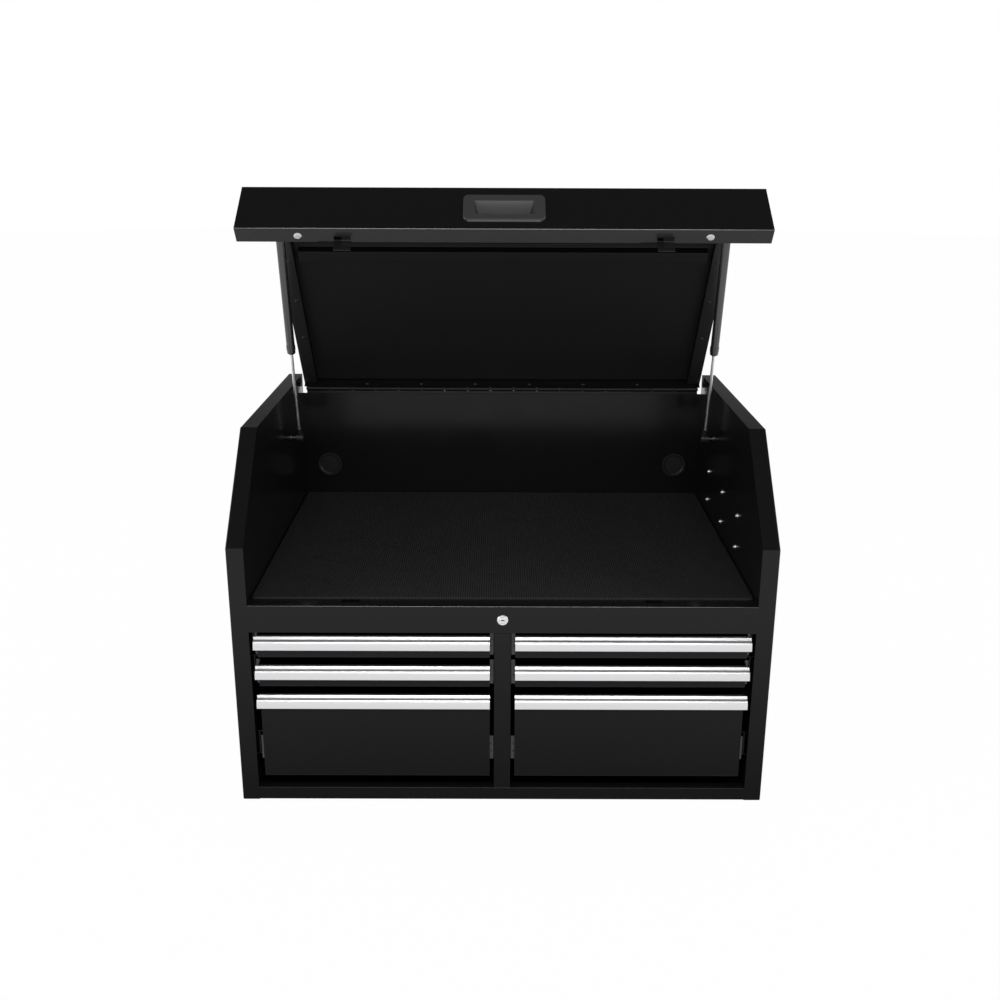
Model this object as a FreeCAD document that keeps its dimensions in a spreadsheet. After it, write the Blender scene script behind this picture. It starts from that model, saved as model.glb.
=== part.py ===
import FreeCAD, Part
import math
import os
import re
import Sketcher

# Combination tool chest, millimetres, +Z up, front towards -Y.
# The origin is the middle of the case's footprint on the surface it stands on.
# Case pieces are drawn with y = 0 at the front plane and placed half the depth forward.
# Lid pieces are drawn shut, from the hinge axis, and placed open at the struts' full length.

DRIVING = {
    # case
    "width": 914.4, "depth": 640, "tall": 635, "front_edge": 470.5, "side_wall": 29.6,
    "gauge": 1.2, "bend": 2.6, "panel_drop": 9.7, "panel_hem": 6, "outer_bend": 1,
    # front frame
    "header_low": 320, "floor_high": 369, "header_reach": 30, "header_lip": 14,
    "pan_bend": 2, "rail_high": 24, "rail_reach": 18, "post_half": 14.4, "post_reach": 34,
    "post_flange": 13, "partition_half": 8.8, "floor_flange": 20,
    # compartment
    "mat_thick": 3.5, "mat_gap": 1.6, "mat_corner": 6,
    "grommet_inset": 51.6, "grommet_z": 436, "grommet_wide": 52.5, "grommet_hole": 45,
    "grommet_proud": 2.6, "grommet_land": 3, "grommet_snap": 1.8, "cap_proud": 0.8,
    "bolt_wide": 11, "bolt_rise": 4, "bolt_first": 205, "bolt_pitch": 145,
    "bolt_low": 402, "bolt_high": 462,
    # continuous hinge
    "hinge_back": 1, "hinge_drop": 31.3, "hinge_inset": 6, "knuckle_wide": 10, "pin_wide": 6,
    "knuckle_count": 17, "knuckle_gap": 0.6, "leaf_clear": 0.25, "leaf_reach": 22, "pin_clear": 0.06,
    # lid
    "lid_open": 53.5, "lid_side_gap": 2.6, "lid_rise": 30, "lid_gap": 1.6, "lid_return": 27.5,
    "lid_rim": 15, "lid_cheek": 28, "flange_low": 6, "gusset_lead": 15, "gusset_slope": 40,
    "gusset_low": -9, "channel_wide": 27, "channel_back": 3,
    "brace_back": 335, "brace_wide": 45, "brace_foot": 8, "brace_slant": 3, "brace_gap": 10,
    "brace_deep": 13,
    # lid fittings
    "rivet_wide": 8, "rivet_rise": 1.8, "rivet_inset": 17, "leaf_rivet_x": 58,
    "leaf_rivet_pitch": 116, "leaf_rivet_z": 14, "brace_rivet_first": 141, "brace_rivet_pitch": 102.5,
    "bezel_wide": 131, "bezel_high": 61, "bezel_thick": 4.5, "bezel_z": 418.5, "bezel_corner": 9,
    "bezel_edge": 1.5, "cup_wide": 95, "cup_high": 32, "cup_deep": 36, "cup_draft": 9,
    "cup_wall": 2, "cup_drop": 1.3, "fit_clear": 0.2, "bumper_x": 326, "bumper_y": 16,
    "bumper_wide": 13, "bumper_thick": 1.3, "stem_wide": 8, "stem_long": 6, "stem_clear": 0.1,
    # lid hooks and lock
    "hook_x": 256.25, "hook_wide": 27, "hook_leg": 11, "hook_foot": 6.5, "hook_low": 350,
    "hook_y": 25.4, "hook_thick": 2, "hook_tab": 26, "hook_tab_high": 8, "hook_tab_front": 8,
    "hook_play": 0.3, "catch_front": 14.5, "catch_back": 23, "slot_margin": 1.5,
    "slot_lead": 9.9, "slot_trail": 1.3, "lock_z": 344.5, "lock_wide": 18.5, "lock_proud": 2.2,
    "lock_edge": 1, "barrel_wide": 16, "core_wide": 11, "core_clear": 0.06,
    "core_proud": 0.3, "core_edge": 0.6, "key_wide": 6, "key_high": 2, "key_deep": 10,
    "cam_thick": 2, "cam_gap": 0.4, "cam_room": 1, "cam_radius": 10, "cam_pin": 4, "pin_play": 1,
    "cam_root": 7, "cam_nose": 3, "bar_thick": 1.6, "bar_rise": 5.5, "bar_drop": 6,
    "bar_rest": 0.3, "tongue_lift": 1.5, "tongue_thick": 7, "tongue_long": 15, "tongue_gap": 1,
    "ear_wide": 18, "bar_foot_x": 130, "bar_foot_wide": 30,
    # gas struts
    "strut_inset": 15, "strut_lead": 165, "strut_drop": 66.7, "strut_lid_reach": 455,
    "strut_lid_rise": 1, "ball_wide": 10, "ball_clear": 0.3, "neck_wide": 6, "stud_base": 15,
    "stud_base_thick": 3, "stud_gap": 0.3, "stud_edge": 0.5, "socket_wide": 17, "socket_back": 7.5,
    "socket_mouth": 6.5, "socket_edge": 2, "socket_root": 6.5, "socket_long": 22,
    "sleeve_wide": 12, "sleeve_edge": 1.5, "rod_wide": 6, "rod_long": 250, "rod_start": 10,
    "cylinder_wide": 16, "cylinder_wall": 1, "cylinder_edge": 2, "cylinder_end": 6,
    "cylinder_low": 184, "bush_long": 14, "piston_long": 10, "piston_clear": 0.08,
    "collar_wide": 17.4, "collar_long": 9, "collar_at": 8,
    # drawers
    "tray_clear": 0.1, "tray_deep": 585, "drawer_gauge": 1, "shallow_high": 43, "deep_high": 161,
    "low_row": 46, "middle_row": 218.5, "high_row": 273, "tray_round": 4,
    # drawer slides
    "slide_thick": 12.7, "slide_high": 45, "slide_long": 559, "slide_front": 14, "slide_step": 8,
    "slide_gauge": 1.2, "race": 3.6, "race_clear": 0.3, "slide_rise": 1.5, "deep_slide_rise": 28,
    "slide_web_gap": 4.8, "slide_end_gap": 1.3, "member_reach": 9.6, "tab_start": 6.6,
    "tab_waist": 10, "tab_waist_z": 7, "tab_waist_half": 1.6,
    # drawer pulls
    "pull_reach": 4.7, "pull_drop": 2.2, "pull_proud": 11, "pull_high": 21.8, "pull_wall": 1.7,
    "pull_back": 12, "pull_lip": 2, "pull_brow": 4.5, "pull_brow_drop": 3, "pull_groove": 1.2,
    "pull_groove_high": 1.6, "pull_step": 0.8, "pull_belly": 11, "pull_belly_low": 13,
    "pull_root": 5.8, "pull_root_wide": 3.6, "pull_hollow": 10, "pull_lean": 0.8, "pull_toe": 1,
}

# Places that follow from the sizes above, so that pieces stay together when one of them changes
TIED = {
    "hinge_y": "(depth - hinge_back)",
    "hinge_z": "(tall - hinge_drop)",
    "panel_high": "(hinge_z - panel_drop)",
    "grommet_x": "(width / 2 - side_wall - grommet_inset)",
    "lid_half": "(width / 2 - side_wall - lid_side_gap)",
    "hinge_half": "(lid_half - hinge_inset)",
    "rivet_x": "(lid_half - rivet_inset)",
    "channel_reach": "(lid_half - channel_wide)",
    "brace_half": "(channel_reach - brace_gap)",
    "gusset_front": "(strut_lid_reach - gusset_lead)",
    "gusset_back": "(gusset_front - gusset_slope)",
    "slot_front": "(hook_y - slot_lead)",
    "slot_back": "(hook_y + hook_thick + slot_trail)",
    "barrel_long": "(hook_y - cam_room - cam_thick - cam_gap)",
    "bar_low": "(header_low + bar_rise)",
    "bar_top": "(hook_low - bar_drop)",
    "tongue_low": "(hook_low + hook_foot + tongue_lift)",
    "tongue_high": "(tongue_low + tongue_thick)",
    "strut_x": "(lid_half - strut_inset)",
    "strut_y": "(hinge_y - strut_lead)",
    "strut_z": "(hinge_z - strut_drop)",
    "tray_inner": "(partition_half + slide_thick)",
    "tray_outer": "(width / 2 - side_wall - slide_thick - tray_clear)",
    "pull_outer": "(tray_outer + pull_reach)",
}

DOCUMENT = FreeCAD.newDocument("tool_chest")
SHEET = DOCUMENT.addObject("Spreadsheet::Sheet", "sizes")
for row, (alias, value) in enumerate(DRIVING.items(), start=1):
    SHEET.set(f"A{row}", alias)
    SHEET.set(f"B{row}", str(value))
    SHEET.setAlias(f"B{row}", alias)
DOCUMENT.recompute()

# Places that several pieces share, in the sheet's names
INNER = "(width / 2 - side_wall)"
PANEL_BACK = "(depth - gauge)"
PANEL_FRONT = "(depth - 2 * gauge)"
FLOOR_LOW = "(floor_high - gauge)"
MITRE = "(gauge * (sqrt(2) - 1))"
BAR_BACK = "(hook_y + fit_clear + bar_thick)"
LID_LOW = "(floor_high + lid_gap - hinge_z)"
LID_TOP_Y = "(hinge_z + lid_rise - front_edge - hinge_y)"
LID_EDGE_Z = "(front_edge - hinge_z)"
CUP_Z = "(bezel_z - hinge_z - cup_drop)"
ROWS = {
    "top": ("high_row", "shallow_high", "slide_rise"),
    "middle": ("middle_row", "shallow_high", "slide_rise"),
    "bottom": ("low_row", "deep_high", "deep_slide_rise"),
}
SIDES = {"left": -1, "right": 1}
PARTS = []
# Share of an edge's direction above which it counts as running along an axis
ALONG = 0.9


def spelt(text):
    """Expression with each tied place written out in the sheet's own names."""
    while any(name in TIED for name in re.findall(r"[a-z_]+", text)):
        text = re.sub(r"[a-z_]+", lambda m: TIED.get(m[0], m[0]), text)
    return text


def size(text):
    """Number that an expression in the sheet's names has now."""
    return float(SHEET.evalExpression(spelt(text)))


def bound(text):
    """Expression with the sheet's name before each of its aliases."""
    return re.sub(r"[a-z_]+", lambda m: "sizes." + m[0] if m[0] in DRIVING else m[0], spelt(text))


def bind(item, where, text):
    item.setExpression(where, bound(text))


def sided(side, text):
    return text if side > 0 else f"-({text})"


def place_in_case(part):
    bind(part, "Placement.Base.y", "-depth / 2")


def place_in_lid(part):
    part.Placement = FreeCAD.Placement(FreeCAD.Vector(), FreeCAD.Rotation(FreeCAD.Vector(-1, 0, 0), 1))
    bind(part, "Placement.Base.y", "hinge_y - depth / 2")
    bind(part, "Placement.Base.z", "hinge_z")
    bind(part, "Placement.Rotation.Angle", "lid_open")


def new_body(label, place=place_in_case):
    body = DOCUMENT.addObject("PartDesign::Body", label)
    body.Label = label
    body.AllowCompound = True
    place(body)
    PARTS.append(body)
    return body


def new_sketch(body, plane, shift=("0", "0", "0")):
    sketch = body.newObject("Sketcher::SketchObject", body.Name + "_sketch")
    role = plane + "_Plane"
    sketch.AttachmentSupport = [(next(f for f in body.Origin.OriginFeatures if f.Role == role), "")]
    sketch.MapMode = "FlatFace"
    for letter, text in zip("xyz", shift):
        bind(sketch, "AttachmentOffset.Base." + letter, text)
    return sketch


def fix(sketch, kind, first, second, text):
    index = sketch.addConstraint(Sketcher.Constraint(kind, *first, *second, size(text)))
    bind(sketch, f"Constraints[{index}]", text)


def arc_between(start, end, radius, turn):
    """Arc from start to end that turns left (turn 1) or right (turn -1)."""
    chord = end - start
    reach = math.sqrt(max(radius ** 2 - chord.Length ** 2 / 4, 0))
    side = FreeCAD.Vector(-chord.y, chord.x, 0).normalize()
    centre = (start + end) / 2 + side * reach * turn
    first, last = (start, end) if turn > 0 else (end, start)
    angles = [math.atan2(p.y - centre.y, p.x - centre.x) for p in (first, last)]
    return Part.ArcOfCircle(Part.Circle(centre, FreeCAD.Vector(0, 0, 1), radius), *angles)


def draw_outline(sketch, outline):
    """Closed outline of (x, y) corners; a third and fourth item make the next edge an arc."""
    points = [FreeCAD.Vector(size(c[0]), size(c[1]), 0) for c in outline]
    ends = []
    for number, corner in enumerate(outline):
        start, end = points[number], points[(number + 1) % len(points)]
        if len(corner) == 2:
            index = sketch.addGeometry(Part.LineSegment(start, end), False)
            ends.append((index, 1, 2))
        else:
            arc = arc_between(start, end, size(corner[2]), corner[3])
            index = sketch.addGeometry(arc, False)
            ends.append((index, 1, 2) if corner[3] > 0 else (index, 2, 1))
    for number, (index, first, last) in enumerate(ends):
        follower, follower_first, _ = ends[(number + 1) % len(ends)]
        sketch.addConstraint(Sketcher.Constraint("Coincident", index, last, follower, follower_first))
    for corner, (index, first, _) in zip(outline, ends):
        fix(sketch, "DistanceX", (-1, 1), (index, first), corner[0])
        fix(sketch, "DistanceY", (-1, 1), (index, first), corner[1])
        if len(corner) > 2:
            radius = sketch.addConstraint(Sketcher.Constraint("Radius", index, size(corner[2])))
            bind(sketch, f"Constraints[{radius}]", corner[2])


def draw_circle(sketch, centre, width):
    middle = FreeCAD.Vector(size(centre[0]), size(centre[1]), 0)
    circle = Part.Circle(middle, FreeCAD.Vector(0, 0, 1), size(width) / 2)
    index = sketch.addGeometry(circle, False)
    fix(sketch, "DistanceX", (-1, 1), (index, 3), centre[0])
    fix(sketch, "DistanceY", (-1, 1), (index, 3), centre[1])
    diameter = sketch.addConstraint(Sketcher.Constraint("Diameter", index, size(width)))
    bind(sketch, f"Constraints[{diameter}]", width)


def flat_sketch(body, plane, start, outlines):
    """Sketch of outlines and circles on a plane that lies at start along its world axis."""
    lift = f"-({start})" if plane == "XZ" else start
    sketch = new_sketch(body, plane, ("0", "0", lift))
    for outline in outlines:
        if isinstance(outline, tuple):
            draw_circle(sketch, outline[0], outline[1])
        else:
            draw_outline(sketch, outline)
    return sketch


def pad(body, plane, start, end, *outlines):
    """Solid between two places along the plane's world axis."""
    base = end if plane == "XZ" else start
    feature = body.newObject("PartDesign::Pad", body.Name + "_pad")
    feature.Profile = flat_sketch(body, plane, base, outlines)
    bind(feature, "Length", f"({end}) - ({start})")
    return feature


def cut(body, plane, start, end, *outlines):
    """Cut between two places along the plane's world axis; a pocket runs against a pad."""
    base = start if plane == "XZ" else end
    DOCUMENT.recompute()
    before = body.Shape.Volume
    feature = body.newObject("PartDesign::Pocket", body.Name + "_cut")
    feature.Profile = flat_sketch(body, plane, base, outlines)
    bind(feature, "Length", f"({end}) - ({start})")
    DOCUMENT.recompute()
    if body.Shape.Volume >= before - 1e-3:
        raise RuntimeError(f"{body.Label}: {feature.Name} removes nothing")
    return feature


def turned(body, axis, centre, outline):
    """Turned solid: outline of (along, radius) corners about a world axis through centre."""
    plane, line = {"X": ("XY", "H_Axis"), "Y": ("XY", "V_Axis"), "Z": ("XZ", "V_Axis")}[axis]
    shift = centre if plane == "XY" else (centre[0], centre[2], f"-({centre[1]})")
    sketch = new_sketch(body, plane, shift)
    flipped = [c if axis == "X" else (c[1], c[0], *c[2:3], *(-turn for turn in c[3:])) for c in outline]
    draw_outline(sketch, flipped)
    feature = body.newObject("PartDesign::Revolution", body.Name + "_turned")
    feature.Profile = sketch
    feature.ReferenceAxis = (sketch, [line])
    feature.Angle = 360
    return feature


def rectangle(low_x, low_y, high_x, high_y):
    return [(low_x, low_y), (high_x, low_y), (high_x, high_y), (low_x, high_y)]


def round_edges(body, radius, wanted):
    """Fillet of the edges whose middle and direction pass a test."""
    dress_edges(body, "Fillet", "Radius", radius, wanted)


def break_edges(body, wide, wanted):
    """Chamfer of the edges whose middle and direction pass a test."""
    dress_edges(body, "Chamfer", "Size", wide, wanted)


def dress_edges(body, kind, measure, text, wanted):
    DOCUMENT.recompute()
    base = body.Tip
    names = []
    for number, edge in enumerate(base.Shape.Edges, start=1):
        middle = edge.valueAt((edge.FirstParameter + edge.LastParameter) / 2)
        along = edge.tangentAt(edge.FirstParameter)
        if wanted(middle, along, edge):
            names.append(f"Edge{number}")
    if not names:
        raise RuntimeError(f"{body.Label}: no edge to dress")
    feature = body.newObject("PartDesign::" + kind, body.Name + "_edges")
    feature.Base = (base, names)
    bind(feature, measure, text)


def hollow(body, wall, opened):
    """Shell that keeps a wall inside the solid and opens the face that passes a test."""
    DOCUMENT.recompute()
    base = body.Tip
    faces = [f"Face{n}" for n, face in enumerate(base.Shape.Faces, start=1) if opened(face)]
    feature = body.newObject("PartDesign::Thickness", body.Name + "_hollow")
    feature.Base = (base, faces)
    bind(feature, "Value", wall)
    feature.Mode = "Skin"
    feature.Join = "Arc"
    feature.Reversed = True
    return feature


def near(value, text):
    return abs(value - size(text)) < 1e-4


def mirrored(body, feature):
    """Copy of a feature on the other side of the body's YZ plane."""
    mirror = body.newObject("PartDesign::Mirrored", body.Name + "_mirror")
    mirror.Originals = [feature]
    plane = next(f for f in body.Origin.OriginFeatures if f.Role == "YZ_Plane")
    mirror.MirrorPlane = (plane, [""])
    body.Tip = mirror
    return mirror


# Side walls: each is a hollow pan with a bevelled front corner, closed by a liner inside

def side_outline(inset):
    """Outline of a side wall, drawn in by a sheet thickness."""
    corner = f"({inset}) * (sqrt(2) - 1)"
    return [
        (inset, inset), (f"depth - ({inset})", inset), (f"depth - ({inset})", f"tall - ({inset})"),
        (f"tall - front_edge + {corner}", f"tall - ({inset})"), (inset, f"front_edge - {corner}"),
    ]


def make_side_skin(name, side):
    skin = new_body(f"{name}_side_skin")
    outer, inner = ("width / 2", INNER) if side > 0 else ("-width / 2", f"-{INNER}")
    low, high = (inner, outer) if side > 0 else (outer, inner)
    pad(skin, "YZ", low, high, side_outline("0"))
    round_edges(skin, "bend", lambda p, d, e: near(p.x, outer))
    hollow(skin, "gauge", lambda f: near(f.CenterOfMass.x, inner))


def make_side_liners():
    liners = new_body("side_liners")
    right = pad(liners, "YZ", INNER, f"{INNER} + gauge", side_outline("gauge"))
    mirrored(liners, right)


def make_back_panel():
    panel = new_body("back_panel")
    outline = rectangle(f"-{INNER}", "0", INNER, "panel_high")
    holes = [((sided(s, "grommet_x"), "grommet_z"), "grommet_hole") for s in (-1, 1)]
    pad(panel, "XZ", PANEL_FRONT, PANEL_BACK, outline, *holes)
    hem = rectangle(f"-{INNER}", "panel_high - panel_hem", INNER, "panel_high")
    pad(panel, "XZ", f"{PANEL_FRONT} - gauge", PANEL_FRONT, hem)


def make_bottom_pan():
    pan = new_body("bottom_pan")
    pad(pan, "YZ", f"-{INNER}", INNER, [
        ("0", "0"), (PANEL_FRONT, "0"), (PANEL_FRONT, "floor_flange"),
        (f"{PANEL_FRONT} - gauge", "floor_flange"), (f"{PANEL_FRONT} - gauge", "gauge"),
        ("gauge", "gauge"), ("gauge", "rail_high - gauge"), ("rail_reach", "rail_high - gauge"),
        ("rail_reach", "rail_high"), ("0", "rail_high"),
    ])
    round_edges(pan, "pan_bend", lambda p, d, e: is_front_edge(p, d, e) and near(p.z, "0"))
    round_edges(pan, "outer_bend", lambda p, d, e: is_front_edge(p, d, e) and near(p.z, "rail_high"))


def is_front_edge(middle, along, edge):
    return near(middle.y, "0") and abs(along.x) > ALONG


def make_header():
    header = new_body("header_rail")
    lip = f"{BAR_BACK} + bar_rest + gauge"
    pad(header, "YZ", f"-{INNER}", INNER, [
        ("0", "header_low"), (lip, "header_low"), (lip, "header_low + header_lip"),
        (f"{lip} - gauge", "header_low + header_lip"), (f"{lip} - gauge", "header_low + gauge"),
        ("gauge", "header_low + gauge"), ("gauge", FLOOR_LOW), ("header_reach", FLOOR_LOW),
        ("header_reach", "floor_high"), ("0", "floor_high"),
    ])
    round_edges(header, "outer_bend", is_front_edge)
    reach = "(hook_wide / 2 + slot_margin)"
    for side in (-1, 1):
        middle = sided(side, "hook_x")
        slot = rectangle(f"{middle} - {reach}", "slot_front", f"{middle} + {reach}", "slot_back")
        cut(header, "XY", FLOOR_LOW, "floor_high", slot)
    cut(header, "XZ", "0", "gauge", (("0", "lock_z"), "barrel_wide"))


def make_centre():
    post = new_body("centre_post")
    pad(post, "XY", "rail_high", "header_low", [
        ("-post_half", "0"), ("post_half", "0"), ("post_half", "post_flange"),
        ("post_half - gauge", "post_flange"), ("post_half - gauge", "gauge"),
        ("gauge - post_half", "gauge"), ("gauge - post_half", "post_flange"), ("-post_half", "post_flange"),
    ])
    round_edges(post, "outer_bend", lambda p, d, e: near(p.y, "0") and abs(d.z) > ALONG)
    partition = new_body("centre_partition")
    pad(partition, "XY", "gauge", FLOOR_LOW, [
        ("-partition_half", "post_reach"), ("partition_half", "post_reach"),
        ("partition_half", f"{PANEL_FRONT} - gauge"), ("partition_half - gauge", f"{PANEL_FRONT} - gauge"),
        ("partition_half - gauge", "post_reach + gauge"), ("gauge - partition_half", "post_reach + gauge"),
        ("gauge - partition_half", f"{PANEL_FRONT} - gauge"), ("-partition_half", f"{PANEL_FRONT} - gauge"),
    ])


def make_compartment():
    floor = new_body("compartment_floor")
    flange = "floor_high - floor_flange"
    pad(floor, "YZ", f"-{INNER}", INNER, [
        ("header_reach", flange), ("header_reach + gauge", flange), ("header_reach + gauge", FLOOR_LOW),
        (f"{PANEL_FRONT} - gauge", FLOOR_LOW), (f"{PANEL_FRONT} - gauge", flange),
        (PANEL_FRONT, flange), (PANEL_FRONT, "floor_high"), ("header_reach", "floor_high"),
    ])
    mat = new_body("floor_mat")
    mat_half = f"({INNER} - mat_gap)"
    pad(mat, "XY", "floor_high", "floor_high + mat_thick",
        rectangle(f"-{mat_half}", "header_reach", mat_half, f"{PANEL_FRONT} - mat_gap"))
    round_edges(mat, "mat_corner", lambda p, d, e: abs(d.z) > ALONG)
    break_edges(mat, "mat_thick / 3", lambda p, d, e: near(p.z, "floor_high + mat_thick"))


def make_grommets():
    grommets = new_body("cable_grommets")
    rim, neck = "grommet_wide / 2", "grommet_hole / 2"
    for side in (-1, 1):
        turned(grommets, "Y", (sided(side, "grommet_x"), PANEL_FRONT, "grommet_z"), [
            ("-cap_proud", "0"), ("-cap_proud", f"{neck} - grommet_land"),
            ("-grommet_proud", f"{neck} - cap_proud"), ("-grommet_proud", f"{rim} - cap_proud"),
            ("0", rim), ("0", neck), ("gauge", neck), ("gauge", f"{neck} + cap_proud"),
            ("gauge + grommet_snap", neck), ("gauge + grommet_snap", f"{neck} - grommet_land"),
            ("gauge", f"{neck} - grommet_land"), ("gauge", "0"),
        ])


def dome(wide, rise):
    """Low head that stands out against its axis."""
    return [("0", "0"), ("0", f"{wide} / 2"), (f"-{rise}", f"{wide} / 4"), (f"-{rise}", "0")]


def make_side_bolts():
    bolts = new_body("side_bolts")
    for row in ("bolt_low", "bolt_high"):
        for place in range(3):
            centre = (INNER, f"bolt_first + {place} * bolt_pitch", row)
            turned(bolts, "X", centre, dome("bolt_wide", "bolt_rise"))


# Continuous hinge: knuckles alternate between the case leaf and the lid leaf

def make_leaf(name, place, centre, lift, first, behind, front):
    """Leaf with every second knuckle; lift is 1 when the leaf stands up from the axis."""
    leaf = new_body(name, place)
    count = f"(knuckle_count + {1 - 2 * first}) / 2"
    pitch = "(2 * hinge_half / knuckle_count)"
    start = f"(knuckle_gap / 2 - hinge_half + {first} * {pitch})"
    end = f"({start} + {pitch} - knuckle_gap)"
    clear = f"{centre[1]} + {lift} * (knuckle_wide / 2 + leaf_clear)"
    root = f"{centre[1]} + {lift} * (knuckle_wide / 2 - knuckle_gap)"
    far = f"{centre[1]} + {lift} * leaf_reach"
    pad(leaf, "XZ", front, behind, rectangle("-hinge_half", clear, "hinge_half", far))
    tab = pad(leaf, "XZ", front, behind, rectangle(start, clear, end, root))
    ring = pad(leaf, "YZ", start, end, (centre, "knuckle_wide"), (centre, "pin_wide + 2 * pin_clear"))
    row = leaf.newObject("PartDesign::LinearPattern", leaf.Name + "_row")
    row.Originals = [tab, ring]
    axis = next(f for f in leaf.Origin.OriginFeatures if f.Role == "X_Axis")
    row.Direction = (axis, [""])
    bind(row, "Length", f"2 * {pitch} * ({count} - 1)")
    bind(row, "Occurrences", count)
    leaf.Tip = row


def make_hinge():
    centre = ("hinge_y", "hinge_z")
    make_leaf("hinge_case_leaf", place_in_case, centre, -1, 0, "depth", PANEL_BACK)
    make_leaf("hinge_lid_leaf", place_in_lid, ("0", "0"), 1, 1, "0", "-gauge")
    pin = new_body("hinge_pin")
    pad(pin, "YZ", "-hinge_half - 1", "hinge_half + 1", (centre, "pin_wide"))


# Lid

def make_lid_shell():
    shell = new_body("lid_shell", place_in_lid)
    half, above_low = "lid_half", f"{LID_LOW} + gauge"
    inner_y = "(lid_return - hinge_y)"
    skin = [
        ("gauge", "flange_low"), ("gauge", "lid_rise"), (LID_TOP_Y, "lid_rise"), ("-hinge_y", LID_EDGE_Z),
        ("-hinge_y", LID_LOW), (inner_y, LID_LOW), (inner_y, above_low), ("gauge - hinge_y", above_low),
        ("gauge - hinge_y", f"{LID_EDGE_Z} - {MITRE}"), (f"{LID_TOP_Y} + {MITRE}", "lid_rise - gauge"),
        ("0", "lid_rise - gauge"), ("0", "flange_low"),
    ]
    pad(shell, "YZ", f"-{half}", half, skin)
    cheek = "lid_cheek * sqrt(2)"
    cheek_y = "(lid_cheek - hinge_y)"
    line = f"({LID_EDGE_Z} + hinge_y - {cheek})"
    rim = [
        ("0", "lid_rise - lid_rim"), ("-gusset_back", "lid_rise - lid_rim"),
        ("-gusset_front", "gusset_low"), (f"gusset_low - {line}", "gusset_low"),
        (cheek_y, f"{line} + {cheek_y}"), (cheek_y, above_low), ("gauge - hinge_y", above_low),
        ("gauge - hinge_y", f"{LID_EDGE_Z} - {MITRE}"), (f"{LID_TOP_Y} + {MITRE}", "lid_rise - gauge"),
        ("0", "lid_rise - gauge"),
    ]
    pad(shell, "YZ", f"{half} - gauge", half, rim)
    pad(shell, "YZ", f"-{half}", f"gauge - {half}", rim)
    round_edges(shell, "outer_bend", is_lid_side_edge)
    round_edges(shell, "outer_bend", is_lid_front_edge)
    slots, notches, holes = [], [], []
    for side in (-1, 1):
        left = f"{sided(side, 'hook_x')} - hook_wide / 2"
        right = f"{sided(side, 'hook_x')} + hook_wide / 2"
        slots.append(rectangle(left, "catch_front - hinge_y", right, "catch_back - hinge_y"))
        notches.append(rectangle(f"{left} - hook_play - hook_tab", "hook_y - fit_clear - hinge_y",
                                 f"{right} + hook_play", "lid_return + gauge - hinge_y"))
        holes.append(((sided(side, "bumper_x"), "bumper_y - hinge_y"), "stem_wide + 2 * stem_clear"))
    cut(shell, "XY", LID_LOW, f"{LID_LOW} + gauge", *slots, *notches)
    cut(shell, "XY", LID_LOW, f"{LID_LOW} + gauge", *holes)
    across = "(cup_wide / 2 + cup_wall + fit_clear)"
    tall = "(cup_high / 2 + cup_wall + fit_clear)"
    cut(shell, "XZ", "-hinge_y", "gauge - hinge_y",
        rectangle(f"-{across}", f"{CUP_Z} - {tall}", across, f"{CUP_Z} + {tall}"))


def is_lid_side_edge(middle, along, edge):
    """Edge where the lid's top, slope or front meets a cheek."""
    if not near(abs(middle.x), "lid_half") or middle.y > -size("gauge"):
        return False
    on_front = near(middle.y, "-hinge_y") and middle.z > size(f"{LID_LOW} + gauge")
    on_slope = near(middle.z - middle.y, f"{LID_EDGE_Z} + hinge_y")
    return on_front or on_slope or near(middle.z, "lid_rise")


def is_lid_front_edge(middle, along, edge):
    """Long edge at the front or on top of the lid."""
    outside = near(middle.y, "-hinge_y") or near(middle.z, "lid_rise")
    return outside and abs(along.x) > ALONG and edge.Length > size("lid_half")


def make_handle_cup():
    cup = new_body("handle_cup", place_in_lid)
    bezel_z = "(bezel_z - hinge_z)"
    half, tall = "(bezel_wide / 2)", "(bezel_high / 2)"
    pad(cup, "XZ", "-hinge_y - bezel_thick", "-hinge_y",
        rectangle(f"-{half}", f"{bezel_z} - {tall}", half, f"{bezel_z} + {tall}"))
    round_edges(cup, "bezel_corner", lambda p, d, e: abs(d.y) > ALONG)
    break_edges(cup, "bezel_edge", lambda p, d, e: near(p.y, "-hinge_y - bezel_thick"))

    def mouth(grow, taper):
        wide = f"(cup_wide / 2 + {grow} - {taper})"
        return rectangle(f"-{wide}", f"{CUP_Z} - cup_high / 2 - {grow} + {taper} / 2",
                         wide, f"{CUP_Z} + cup_high / 2 + {grow} - {taper} / 2")

    outer = body_loft(cup, "PartDesign::AdditiveLoft", mouth("cup_wall", "0"), "-hinge_y",
                      mouth("cup_wall", "cup_draft"), "cup_deep - hinge_y")
    inner = body_loft(cup, "PartDesign::SubtractiveLoft", mouth("0", "0"), "-hinge_y - bezel_thick",
                      mouth("0", "cup_draft"), "cup_deep - cup_wall - hinge_y")
    return outer, inner


def body_loft(body, kind, near_outline, near_y, far_outline, far_y):
    loft = body.newObject(kind, body.Name + "_loft")
    loft.Profile = flat_sketch(body, "XZ", near_y, [near_outline])
    loft.Sections = [(flat_sketch(body, "XZ", far_y, [far_outline]), [""])]
    loft.Ruled = True
    return loft


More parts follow.
